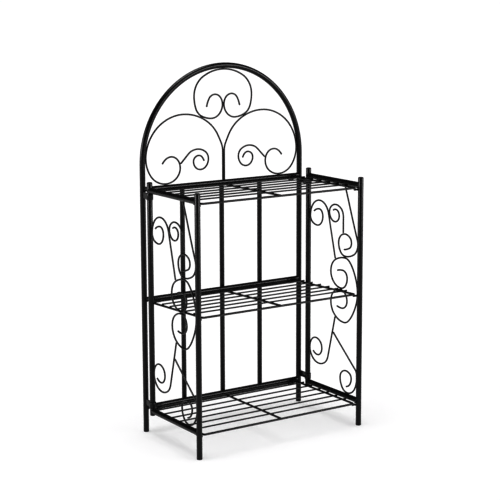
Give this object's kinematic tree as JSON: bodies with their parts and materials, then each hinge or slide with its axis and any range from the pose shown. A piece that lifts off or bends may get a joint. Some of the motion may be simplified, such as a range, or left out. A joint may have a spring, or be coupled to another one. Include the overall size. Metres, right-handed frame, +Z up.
{
  "type": "folding plant rack",
  "caption": "Free-standing wire and tube plant rack with three fold-up shelves between two hinged scrolled side frames and an arched scrolled back.",
  "frame": {"origin": "on the floor, at the centre of the overall box", "axes": "+Z up, -Y towards the open front, +X to the right as seen from the front"},
  "size_m": [0.471, 0.271, 0.8753],
  "materials": {
    "black_metal": "satin powder coat",
    "plugs": "moulded black plastic"
  },
  "bodies": {
    "back_frame": {"arch_curl_left": "black_metal", "arch_curl_right": "black_metal", "arch_scroll_crown": "black_metal", "arch_scroll_left": "black_metal", "arch_scroll_right": "black_metal", "back_arch_tube": "black_metal", "back_feet": "plugs", "back_rail_bottom": "black_metal", "back_rail_middle": "black_metal", "back_rail_top": "black_metal", "back_upright_centre": "black_metal", "back_upright_left": "black_metal", "back_upright_right": "black_metal", "hinge_strap_left_bottom": "black_metal", "hinge_strap_left_top": "black_metal", "hinge_strap_right_bottom": "black_metal", "hinge_strap_right_top": "black_metal", "shelf_clips_bottom": "black_metal", "shelf_clips_middle": "black_metal", "shelf_clips_top": "black_metal"},
    "left_side_frame": {"left_bottom_bar": "black_metal", "left_caps": "plugs", "left_foot": "plugs", "left_front_upright": "black_metal", "left_rear_upright": "black_metal", "left_scroll_lower_front": "black_metal", "left_scroll_lower_rear": "black_metal", "left_scroll_middle": "black_metal", "left_scroll_upper_front": "black_metal", "left_scroll_upper_middle": "black_metal", "left_scroll_upper_rear": "black_metal", "left_shelf_rests": "black_metal", "left_top_bar": "black_metal"},
    "right_side_frame": {"right_bottom_bar": "black_metal", "right_caps": "plugs", "right_foot": "plugs", "right_front_upright": "black_metal", "right_rear_upright": "black_metal", "right_scroll_lower_front": "black_metal", "right_scroll_lower_rear": "black_metal", "right_scroll_middle": "black_metal", "right_scroll_upper_front": "black_metal", "right_scroll_upper_middle": "black_metal", "right_scroll_upper_rear": "black_metal", "right_shelf_rests": "black_metal", "right_top_bar": "black_metal"},
    "top_shelf": {"shelf_frame_top": "black_metal", "shelf_middle_top": "black_metal", "shelf_pivot_top": "black_metal", "shelf_wires_top": "black_metal"},
    "middle_shelf": {"shelf_frame_middle": "black_metal", "shelf_middle_middle": "black_metal", "shelf_pivot_middle": "black_metal", "shelf_wires_middle": "black_metal"},
    "bottom_shelf": {"shelf_frame_bottom": "black_metal", "shelf_middle_bottom": "black_metal", "shelf_pivot_bottom": "black_metal", "shelf_wires_bottom": "black_metal"}
  },
  "joints": [
    {"name": "left_side_fold", "type": "hinge", "parent": "back_frame", "child": "left_side_frame", "pos_m": [-0.2275, 0.08102, 0.3256], "axis": [0, 0, 1], "range_deg": [-155, 0]},
    {"name": "right_side_fold", "type": "hinge", "parent": "back_frame", "child": "right_side_frame", "pos_m": [0.2275, 0.08102, 0.3256], "axis": [0, 0, 1], "range_deg": [0, 155]},
    {"name": "top_shelf_fold", "type": "hinge", "parent": "back_frame", "child": "top_shelf", "pos_m": [0, 0.10927, 0.5825], "axis": [-1, 0, 0], "range_deg": [0, 86.5]},
    {"name": "middle_shelf_fold", "type": "hinge", "parent": "back_frame", "child": "middle_shelf", "pos_m": [0, 0.10927, 0.3188], "axis": [-1, 0, 0], "range_deg": [0, 88]},
    {"name": "bottom_shelf_fold", "type": "hinge", "parent": "back_frame", "child": "bottom_shelf", "pos_m": [0, 0.10927, 0.055], "axis": [-1, 0, 0], "range_deg": [0, 90]}
  ]
}
